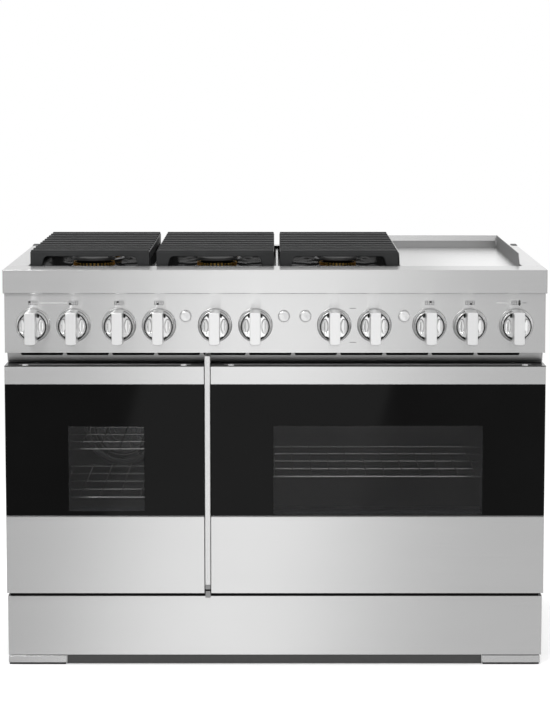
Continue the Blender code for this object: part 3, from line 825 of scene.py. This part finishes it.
def makeVent(size):
    # a steel strip with a row of slots over a rounded lower fold, and a near-black board behind them, painted
    # shade seen through the slots
    low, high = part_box("vent_strip")
    front, top = low.y, high.z
    slotTop = top - size["slotTop"]
    slotLow = slotTop - size["slotTall"]
    start, end = low.x - size["ends"][0], high.x + size["ends"][1]
    columns = [(start, start)]
    for index in range(size["slots"]):
        left = low.x + size["start"] + index * size["pitch"]
        right = left + size["pitch"] - size["bridge"]
        columns += [(left, left + size["flare"]), (right, right - size["flare"])]
    columns.append((end, end))
    bm = bmesh.new()
    rows = []
    for z in (top, slotTop):
        rows.append([bm.verts.new((wide, front, z)) for wide, narrow in columns])
    steps = 6
    for index in range(steps + 1):
        angle = math.pi / 2 * index / steps
        y, z = front + size["fold"] * (1 - math.cos(angle)), slotLow - (slotLow - low.z) * math.sin(angle)
        rows.append([bm.verts.new((narrow, y, z)) for wide, narrow in columns])
    for j in range(len(rows) - 1):
        for i in range(len(columns) - 1):
            if j == 1 and i % 2 == 1:
                continue
            bm.faces.new((rows[j][i], rows[j + 1][i], rows[j + 1][i + 1], rows[j][i + 1]))
    obj = withWall(bareObject("vent_front", bm), size["sheet"])
    place(obj, "ventSteel", "body", "black_enamel", ("vent_strip",), smooth=40)
    # a near-black board behind the slots: painted shade
    near, far = (front + back for back in size["shadeBoard"])
    boxPiece("vent_duct", [((low.x + 0.004, near, low.z), (high.x - 0.004, far, top))],
             "shadowPaint", "body", "black_enamel")


doorParts = {
    "capThick": 0.0016, "capOut": 0.0002, "screwInset": 0.0455, "screwRadius": 0.0075, "screwBack": 0.010,
    "beadBack": 0.022, "beadInset": 0.030, "bead": (0.003, 0.0006), "lip": 0.0022, "paneThick": 0.004,
    "gasket": 0.0042, "gasketOut": 0.024, "gasketCorner": 0.02, "trimWidth": 0.014, "innerOver": 0.004,
    "window": {"left": (-0.464, -0.294, 0.358, 0.552), "right": (-0.004, 0.467, 0.350, 0.553)},
}


def framePiece(name, outer, inner, near, far, material, body, slot, replaced=()):
    # a flat frame between two (x low, x high, z low, z high) rectangles
    bm = bmesh.new()
    x0, x1, z0, z1 = outer
    a0, a1, b0, b1 = inner
    xLines, zLines = (x0, a0, a1, x1), (z0, b0, b1, z1)
    corners = [[bm.verts.new((x, near, z)) for x in xLines] for z in zLines]
    for j in range(3):
        for i in range(3):
            if i == 1 and j == 1:
                continue
            bm.faces.new((corners[j][i], corners[j][i + 1], corners[j + 1][i + 1], corners[j + 1][i]))
    obj = withWall(bareObject(name, bm), far - near)
    roundOff(obj, 0.0008, 2)
    return place(obj, material, body, slot, replaced)


def makeDoor(side, size):
    body = f"door_{side}"
    low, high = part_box(f"door_frame_{side}")
    glassLow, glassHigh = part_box(f"door_glass_{side}")
    window = size["window"][side]
    x0, x1, z0, z1 = window
    out, top = size["capOut"], high.z + size["capThick"]
    boxPiece(f"door_cap_{side}", [((low.x - out, low.y - out, high.z - 0.0005), (high.x + out, high.y, top))],
             "capGloss", body, "black_enamel", edge=0.0005)
    inset, y = size["beadInset"], low.y + size["beadBack"]
    wide, tall = size["bead"]
    boxPiece(f"door_cap_bead_{side}",
             [((low.x + inset, y, top - 0.0002), (high.x - inset, y + wide, top + tall))],
             "ventSteel", body, "stainless", edge=0.0003)
    # screw heads painted light so that they show as white glints on the door top: painted highlight
    r = size["screwRadius"]
    screw = turned([(0, 0.0025), (r * 0.5, 0.0021), (r * 0.85, 0.0012), (r, 0.0001), (0, 0)], 20)
    inset, y = size["screwInset"], low.y + size["screwBack"]
    repeated(f"door_cap_screws_{side}", "spots", screw, "markLight", body, "bright_steel", {}, smooth=50,
             spots=[(low.x + inset, y, top), (high.x - inset, y, top)])

    near, far = glassLow.y, glassHigh.y
    outer = (glassLow.x, glassHigh.x, glassLow.z + size["lip"], glassHigh.z)
    framePiece(f"door_glass_border_{side}", outer, window, near, far, "doorGlass", body, "black_glass",
               (f"door_glass_{side}",))
    # the window pane's tone paints the faint glow of reflections from the oven inside
    boxPiece(f"door_window_{side}", [((x0, near, z0), (x1, near + size["paneThick"], z1))],
             "windowGlass", body, "black_glass", edge=0)
    lipLow = (glassLow.x, near + 0.0004, glassLow.z + 0.0009)
    boxPiece(f"door_glass_lip_{side}", [(lipLow, (glassHigh.x, far, outer[2] - 0.0002))],
             "ventSteel", body, "stainless", edge=0.0003)

    inLow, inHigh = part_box(f"door_liner_{side}")
    trim, over = size["trimWidth"], size["innerOver"]
    framePiece(f"door_inner_trim_{side}", (x0 - trim, x1 + trim, z0 - trim, z1 + trim), window,
               inHigh.y + 0.0001, inHigh.y + 0.0016, "blackPaint", body, "black_enamel")
    boxPiece(f"door_inner_glass_{side}",
             [((x0 - over, inLow.y - 0.0042, z0 - over), (x1 + over, inLow.y - 0.0004, z1 + over))],
             "innerGlass", body, "black_glass", edge=0)
    out, y = size["gasketOut"], inHigh.y + size["gasket"] * 0.6
    loop = roundedLoop((x0 - out, z0 - out), (x1 + out, z1 + out), size["gasketCorner"])
    ring = wireMesh([[(x, y, z) for x, z in loop]], size["gasket"], True, 3)
    piece(f"door_gasket_{side}", ring, "fibreGasket", body, "black_enamel", smooth=60)


front = {"bracketTall": 0.011, "kickSheet": 0.0016, "kickOver": (0.0006, 0.0004), "edgeSheet": 0.0012,
         "gapShadeTall": 0.006, "shadeTop": 0.0042, "toeLow": 0.0014, "toeThick": 0.0020}


def makeFront(size):
    stripLow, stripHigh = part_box("divider_strip")
    kickLow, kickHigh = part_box("kick_panel")
    x0, y, z0 = stripLow
    x1, back = stripHigh.x, stripHigh.y
    top, foot = kickHigh.z, z0 - size["bracketTall"]
    # the post under the divider strip takes the shaded copy of the splash steel: painted shade between the
    # doors
    boxPiece("divider_bracket",
             [((x0, y + 0.004, foot), (x1, back, z0 - 0.0004)),
              ((x0 + 0.0005, y + 0.003, top + 0.0004), (x1 - 0.0003, back, foot - 0.003))],
             "splashDark", "body", "stainless", edge=0.0008)
    y, back = kickLow.y + 0.0015, kickHigh.y
    spans = ((kickLow.x + 0.002, x0 - 0.001), (x1 + 0.001, kickHigh.x - 0.002))
    # a near-black strip just above the kick panel: painted shade in the gap under the doors
    boxPiece("kick_seal", [((a, y, top + 0.0003), (b, back, top + size["gapShadeTall"])) for a, b in spans],
             "shadowPaint", "body", "black_enamel")
    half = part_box("side_panel_right")[1].x
    face, foot, thin = kickLow.y + size["kickSheet"], kickLow.z, size["edgeSheet"]
    x0, x1 = kickLow.x, kickHigh.x
    left, right = size["kickOver"]
    boxPiece("kick_face",
             [((-half - left, kickLow.y - 0.0002, foot), (half + right, face, top)),
              ((x0, face, foot), (x0 + thin, back, top)),
              ((x1 - thin, face, foot), (x1, back, top)),
              ((x0 + thin + 0.0001, face, top - thin), (x1 - thin - 0.0001, back, top))],
             "frontSteel", "body", "stainless", ("kick_panel",), edge=0.0005)
    for side in ("left", "right"):
        name = f"front_foot_{side}"
        low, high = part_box(name)
        shadeTop = low.z + size["shadeTop"]
        boxPiece(name + "_cover", [((low.x, low.y, shadeTop), high)], "frontSteel", "body", "stainless",
                 (name,), edge=0.0012)
        # a near-black strip under each foot cover: painted shade where the foot meets the floor
        boxPiece(name + "_pad", [((low.x + 0.002, low.y + 0.002, low.z + 0.0002),
                                  (high.x - 0.002, high.y - 0.004, shadeTop))],
                 "shadowPaint", "body", "black_enamel")
    # a dark board between the feet: painted shade of the recess under the kick panel
    left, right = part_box("front_foot_left")[1].x + 0.0008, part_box("front_foot_right")[0].x - 0.0008
    y = kickLow.y + 0.0006
    boxPiece("toe_board", [((left, y, size["toeLow"]), (right, y + size["toeThick"], foot - 0.0006))],
             "toePaint", "body", "black_enamel")


makeVent(vent)
makeDoor("left", doorParts)
makeDoor("right", doorParts)
makeFront(front)
print("front made")

grate = {
    "ribs": 11, "ribWidth": 0.0112, "ribTall": 0.0125, "ribEdge": 0.00182, "spine": (0.004, 0.018, 0.006),
    "wall": 0.010, "wallDrop": 0.004, "leg": 0.029, "topBar": 0.0105, "sideLeg": 0.034, "sideBar": 0.020,
    "corner": 0.012, "edge": 0.0014,
}


def grateWall(size, a0, a1, foot, top):
    # legs at both ends under a top bar, with rounded inner corners, as (a, z) points
    leg, corner = size["leg"], size["corner"]
    under = top - size["topBar"]
    points = [(a0, foot), (a0 + leg * 0.72, foot)]
    steps = 6
    bends = []
    for index in range(steps + 1):
        angle = math.pi / 2 * index / steps
        bends.append((leg + corner * (1 - math.cos(angle)) * 0.9, under - corner * (1 - math.sin(angle))))
    points += [(a0 + inset, z) for inset, z in bends]
    points += [(a1 - inset, z) for inset, z in reversed(bends)]
    points += [(a1 - leg * 0.72, foot), (a1, foot), (a1, top), (a0, top)]
    return points


def makeGrate(name, size):
    low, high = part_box(name)
    half = size["ribWidth"] / 2
    rib = bmesh.new()
    section = [(-half, -size["ribTall"]), (half, -size["ribTall"]), (half, 0), (-half, 0)]
    addPrism(rib, section, low.x + 0.001, high.x - 0.001)
    count = size["ribs"]
    start = low.y + 0.001 + half
    step = (high.y - low.y - 0.002 - size["ribWidth"]) / (count - 1)
    repeated(name + "_ribs", "row", meshOf("rib", rib, size["ribEdge"]), "castIron", name, "cast_iron",
             {"Count": count, "First": (0, start, high.z), "Step": (0, step, 0)}, (name,))

    bm = bmesh.new()
    wall, wallTop = size["wall"], high.z - size["wallDrop"]
    for y in (low.y, high.y - wall):
        addPrism(bm, grateWall(size, low.x, high.x, low.z, wallTop), y, y + wall, along="Y")
    side = dict(size, leg=size["sideLeg"], topBar=size["sideBar"])
    for x in (low.x, high.x - wall):
        outline = grateWall(side, low.y + 0.0005, high.y - 0.0005, low.z + 0.0002, wallTop - 0.0003)
        addPrism(bm, outline, x, x + wall, along="X")
    half, under, over = size["spine"]
    for index in (1, 2):
        x = low.x + (high.x - low.x) / 3 * index
        addBox(bm, (x - half, low.y + 0.004, high.z - under), (x + half, high.y - 0.004, high.z - over))
    piece(name + "_frame", bm, "castIron", name, "cast_iron", edge=size["edge"], segments=2)


burner = {"teeth": 34, "rim": 0.006, "bowlRim": 0.0040, "ringLow": 0.0045, "ringTop": 0.0125, "neck": 0.0185,
          "capSide": 0.0060, "rod": 0.0085, "dome": 2.6}


def makeBurner(name, size):
    # a cast bowl, a ring with brass flame ports and an enamelled cap; the ring is painted black and the neck
    # under the cap near black, as painted shade; a spark rod stands beside it
    low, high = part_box(name)
    x, y = (low.x + high.x) / 2, (low.y + high.y) / 2
    base = low.z
    cap = (high.x - low.x) / 2 - size["rim"]
    spot = Matrix.Translation((x, y, 0))
    rim, ringLow, ringTop, neck = (base + size[key] for key in ("bowlRim", "ringLow", "ringTop", "neck"))

    def part(label, profile, material, steps, where=spot, replaced=()):
        shape = turned(profile, steps, where)
        piece(name + label, shape, material, "body", "burner_enamel", replaced, smooth=40)

    bowl = [(0, rim), (cap + 0.001, rim), (cap + 0.0035, rim - 0.0008), (cap + 0.0055, base + 0.0012),
            (cap + 0.0058, base), (0, base)]
    part("_bowl", bowl, "castAluminium", 64, replaced=(name,))
    r = cap - 0.0045
    ring = [(0, ringTop), (r - 0.0015, ringTop), (r, ringTop - 0.001), (r, ringLow), (0, ringLow)]
    # the ring is painted black: painted shade between the flame ports
    part("_ring", ring, "blackPaint", 64)
    tooth = bmesh.new()
    half = (ringTop - ringLow) / 2
    addBox(tooth, (-0.0012, -0.0022, -half * 0.95), (0.0020, 0.0022, half * 1.2))
    repeated(name + "_ports", "ring", tooth, "flameBrass", "body", "burner_enamel",
             {"Count": size["teeth"], "Radius": r + 0.0008, "Centre": (x, y, (ringLow + ringTop) / 2)})
    r = cap - 0.0105
    # the neck is painted near black: painted shade under the cap
    part("_neck", [(0, neck), (r, neck), (r, ringTop), (0, ringTop)], "shadowPaint", 48)
    side = neck + size["capSide"]
    profile = [(0, high.z)]
    for share in (0.35, 0.6, 0.8, 0.92, 0.98):
        profile.append((cap * share, side + (high.z - side) * math.sqrt(1 - share ** size["dome"])))
    profile += [(cap, side), (cap, neck + 0.0012), (cap - 0.0012, neck), (0, neck)]
    part("_cap", profile, "capEnamel", 72)
    away = cap + size["rod"]
    beside = Matrix.Translation((x - away * 0.5, y + away * 0.866, 0))
    rod = [(0, base + 0.0155), (0.0010, base + 0.0150), (0.0012, base + 0.0110), (0.0026, base + 0.0105),
           (0.0030, base), (0, base)]
    part("_spark_rod", rod, "ceramic", 16, beside)


deck = {
    "cells": 0.006, "lift": 0.0006, "sheet": 0.00048, "border": 0.012, "railHalf": 0.003, "railHigh": 0.011,
    "ridge": 0.0030, "ridgeRadius": 0.078, "ridgeWidth": 0.0045, "rib": 0.0018, "ribSpread": 0.004,
}


def makeDeck(size):
    # the enamelled pan under each grate, pressed with a ring round each burner and with ribs to the corners
    deckLow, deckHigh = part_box("cooktop_deck")
    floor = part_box("burner_left_front")[0].z
    for column in ("left", "middle", "right"):
        gLow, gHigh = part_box(f"grate_{column}")
        centres = []
        for row in ("front", "rear"):
            low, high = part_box(f"burner_{column}_{row}")
            centres.append(((low.x + high.x) / 2, (low.y + high.y) / 2))
        x0, x1 = gLow.x + 0.002, gHigh.x - 0.002
        y0, y1 = deckLow.y + 0.003, deckHigh.y - 0.003
        across, deep = round((x1 - x0) / size["cells"]), round((y1 - y0) / size["cells"])
        bm = bmesh.new()
        rows = []
        for j in range(deep + 1):
            row = []
            for i in range(across + 1):
                x = x0 + (x1 - x0) * i / across
                y = y0 + (y1 - y0) * j / deep
                cx, cy = min(centres, key=lambda c: (c[0] - x) ** 2 + (c[1] - y) ** 2)
                away = math.hypot(x - cx, y - cy)
                z = size["ridge"] * math.exp(-((away - size["ridgeRadius"]) / size["ridgeWidth"]) ** 2)
                if away > size["ridgeRadius"]:
                    turn = math.sin(2 * math.atan2(y - cy, x - cx))
                    ray = sum(math.exp(-(turn - way) ** 2 / size["ribSpread"]) for way in (1, -1))
                    z = max(z, size["rib"] * ray)
                z *= min(min(x - x0, x1 - x, y - y0, y1 - y) / size["border"], 1)
                row.append(bm.verts.new((x, y, floor + size["lift"] + z)))
            rows.append(row)
        for j in range(deep):
            for i in range(across):
                bm.faces.new((rows[j][i], rows[j][i + 1], rows[j + 1][i + 1], rows[j + 1][i]))
        obj = withWall(bareObject(f"drip_pan_{column}", bm), size["sheet"])
        place(obj, "panGloss", "body", "black_enamel", smooth=60)
    rails = []
    half, y0, y1 = size["railHalf"], deckLow.y + 0.002, deckHigh.y - 0.002
    for first, second in (("left", "middle"), ("middle", "right")):
        x = (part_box(f"grate_{first}")[1].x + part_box(f"grate_{second}")[0].x) / 2
        rails.append(((x - half, y0, floor), (x + half, y1, floor + size["railHigh"])))
    boxPiece("deck_rails", rails, "stripSteel", "body", "bright_steel", edge=0.001)


griddle = {"sheet": 0.0022, "step": 0.0135, "lean": 0.003, "cut": 0.024}


def makeGriddle(size):
    # folded splash walls round the plate: the back one leans, the side ones are cut off at the front; the
    # left wall, the tray and the back wall's upper band take a lit copy of the steel, while the back wall's
    # lower band and the right wall are painted darker as shade
    low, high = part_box("griddle_surround")
    sheet, cut, step = size["sheet"], size["cut"], high.z - size["step"]
    y, back = high.y - sheet, high.y - 0.0002

    def folded(name, outline, start, end, material, edge, segments=2, replaced=()):
        bm = bmesh.new()
        addPrism(bm, outline, start, end)
        piece(name, bm, material, "body", "bright_steel", replaced, edge=edge, segments=segments)

    side = [(low.y, low.z), (high.y, low.z), (high.y, high.z), (low.y + cut, high.z), (low.y, high.z - cut)]
    replaced = ("griddle_surround",)
    folded("griddle_wall_left", side, low.x, low.x + sheet, "splashLight", 0.0006, replaced=replaced)
    folded("griddle_wall_right", side, high.x - sheet, high.x, "splashSide", 0.0006)
    x0, x1 = low.x + sheet + 0.0002, high.x - sheet - 0.0006
    upper = [(y - size["lean"], step), (back, step), (back, high.z), (y, high.z)]
    folded("griddle_splash_upper", upper, x0, x1, "splashLight", 0.0004)
    lower = [(y, low.z), (back, low.z), (back, step - 0.0002), (y, step - 0.0002)]
    folded("griddle_splash_lower", lower, x0, x1, "splashDark", 0.0003, 1)
    boxPiece("griddle_tray", [((x0, low.y, low.z), (x1, y - 0.0002, low.z + sheet))], "splashLight",
             "body", "bright_steel")


for column in ("left", "middle", "right"):
    makeGrate(f"grate_{column}", grate)
    for row in ("front", "rear"):
        makeBurner(f"burner_{column}_{row}", burner)
makeDeck(deck)
makeGriddle(griddle)
print("cooktop made")

rack = {"frame": 0.0032, "corner": 0.014, "wire": 0.0017, "pitch": 0.039, "inset": 0.015,
        "bars": (0.25, 0.5, 0.75)}


def wirePiece(name, paths, radius, body, replaced=(), closed=False):
    mesh = wireMesh(paths, radius, closed)
    return piece(name, mesh, "chromeWire", body, "chrome_wire", replaced, smooth=60)


def makeRack(name, size):
    # a wire shelf: an outer frame, its cross bars and a row of wires over them
    low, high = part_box(name)
    r, thin, inset = size["frame"], size["wire"], size["inset"]
    z = high.z - thin * 2 - r
    loop = roundedLoop((low.x + r, low.y + r), (high.x - r, high.y - r), size["corner"])
    wirePiece(name + "_frame", [[(x, y, z) for x, y in loop]], r * 0.9, name, (name,), True)
    bars = []
    for share in size["bars"]:
        y = low.y + (high.y - low.y) * share
        bars.append([(low.x + r, y, z), (high.x - r, y, z)])
    wirePiece(name + "_bars", bars, r * 0.85, name)
    span = high.x - low.x - 2 * inset
    count = max(2, round(span / size["pitch"]))
    top = high.z - thin
    path = [(0, low.y + 0.0012, z - 0.001), (0, low.y + 0.004, top), (0, high.y - 0.004, top),
            (0, high.y - 0.0012, top)]
    repeated(name + "_wires", "row", wireMesh([path], thin), "chromeWire", name, "chrome_wire",
             {"Count": count, "First": (low.x + inset, 0, 0), "Step": (span / (count - 1), 0, 0)}, smooth=60)


ladder = {"wire": 0.0014, "rungs": 6, "off": 0.0020, "bottom": 0.275, "top": 0.600, "past": 0.008,
          "near": 0.012}
ovens = {"left": ("rack_left_upper", "rack_left_lower"), "right": ("rack_right",)}


def makeLadders(side, size):
    # wire runners on both cavity walls, on which the racks slide
    rackLow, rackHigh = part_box(ovens[side][0])
    left, right = rackLow.x - 0.004, rackHigh.x + 0.004
    y0, y1 = rackLow.y - 0.040, rackHigh.y + 0.030
    bottom, top, past = size["bottom"], size["top"], size["past"]
    gap = (top - bottom) / (size["rungs"] - 1)
    rackLevels = [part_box(name)[0].z for name in ovens[side]]
    paths = []
    for x in (left + size["off"], right - size["off"]):
        for index in range(size["rungs"]):
            z = bottom + gap * index
            nearest = min(rackLevels, key=lambda level: abs(level - z))
            if abs(nearest - z) < size["near"]:
                z = nearest - 0.0035
            paths.append([(x, y0, z + 0.006), (x, y0 + 0.008, z), (x, y1, z)])
        for y in (y0 + 0.03, y1 - 0.02):
            paths.append([(x, y, bottom - past), (x, y, top + past)])
    wirePiece(f"rack_runners_{side}", paths, size["wire"], "body")


fan = {"rings": (0.022, 0.034, 0.046, 0.058, 0.070, 0.082), "turns": 40, "spokes": 6, "wire": 0.0013,
       "ahead": 0.006, "hub": 0.0125, "plateInner": 0.085, "plateOuter": 0.096}


def makeFanCover(size):
    # a wire guard in front of the convection fan, on a pressed ring
    low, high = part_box("fan_left")
    x, z = (low.x + high.x) / 2, (low.z + high.z) / 2
    y = low.y - size["ahead"]

    def spot(radius, turn, back=0):
        angle = 2 * math.pi * turn
        return (x + radius * math.cos(angle), y + back, z + radius * math.sin(angle))

    turns = size["turns"]
    paths = [[spot(radius, i / turns) for i in range(turns)] for radius in size["rings"]]
    wirePiece("fan_guard_rings", paths, size["wire"], "body", closed=True)
    inner, outer = size["rings"][0], size["rings"][-1] + 0.006
    turns = [index / size["spokes"] for index in range(size["spokes"])]
    spokes = [[spot(inner, turn, 0.0022), spot(outer, turn, 0.0022)] for turn in turns]
    wirePiece("fan_guard_spokes", spokes, size["wire"], "body")
    bm = bmesh.new()
    hub, inner, outer = size["hub"], size["plateInner"], size["plateOuter"]
    button = [(0, 0.0015), (hub - 0.0025, 0.0015), (hub, 0), (hub, -0.002), (0, -0.002)]
    addTurned(bm, button, facing(x, y - 0.0008, z), 32)
    plate = [(inner, 0.001), (outer - 0.005, 0.001), (outer, -0.0045), (outer, -0.0065), (inner, -0.0065)]
    addTurned(bm, plate, facing(x, y, z), 48, closed=True)
    piece("fan_guard_plate", bm, "zincSheet", "body", "galvanised", smooth=40)


for side in ("left", "right"):
    for name in ovens[side]:
        makeRack(name, rack)
    makeLadders(side, ladder)
makeFanCover(fan)
print("ovens made")

rear = {
    "darkBlockWide": 0.014, "capOver": 0.0016, "screws": 9, "sideScrews": 5, "screwRadius": 0.0042,
    "louvres": 16, "louvreWide": 0.052, "louvreTall": 0.0065, "louvreGap": 0.013,
    "louvreRows": (0.640, 0.655, 0.670, 0.120, 0.135),
}


def makeRear(size):
    trimLow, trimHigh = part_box("rear_trim")
    # dark blocks at both ends of the rear trim
    wide = size["darkBlockWide"]
    corners = []
    for start, end in ((trimLow.x - 0.0003, trimLow.x + wide), (trimHigh.x - wide, trimHigh.x + 0.0003)):
        corners.append(((start, trimLow.y - 0.0004, trimHigh.z - wide),
                        (end, trimHigh.y + 0.0003, trimHigh.z + size["capOver"])))
    boxPiece("rear_end_caps", corners, "blackPaint", "body", "black_enamel", edge=0.001)
    low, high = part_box("back_panel")
    face = high.y
    proud = cadHigh.y - face
    wide, tall, out = size["louvreWide"], size["louvreTall"], face + proud * 0.9
    lip = bmesh.new()
    addPrism(lip, [(face, 0), (out, tall * 0.35), (out, tall * 0.6), (face, tall)], -wide / 2, wide / 2)
    louvre = meshOf("louvre", lip)
    step = wide + size["louvreGap"]
    start = -step * (size["louvres"] - 1) / 2
    # louvres painted near black: painted shade of the slots behind them
    for index, z in enumerate(size["louvreRows"]):
        repeated(f"back_louvres_{index}", "row", louvre.copy(), "shadowPaint", "body", "black_enamel",
                 {"Count": size["louvres"], "First": (start, 0, z), "Step": (step, 0, 0)})
    r = size["screwRadius"]
    profile = [(0, proud * 0.95), (r * 0.6, proud * 0.9), (r, proud * 0.3), (r, 0), (0, 0)]
    screw = turned(profile, 16, Matrix.Rotation(-math.pi / 2, 4, "X"))
    spots = []
    for index in range(size["screws"]):
        x = low.x + 0.02 + (high.x - low.x - 0.04) * index / (size["screws"] - 1)
        spots += [(x, face, low.z + 0.014), (x, face, high.z - 0.014)]
    for index in range(size["sideScrews"]):
        z = low.z + (high.z - low.z) * (index + 1) / (size["sideScrews"] + 1)
        spots += [(low.x + 0.012, face, z), (high.x - 0.012, face, z)]
    repeated("back_screws", "spots", screw, "knobSteel", "body", "galvanised", {}, smooth=50, spots=spots)


makeRear(rear)
print("rear made")

makeCamera(camera)
makeWorld(studio)
makeLamps(lamps)
makeFloor(studio)
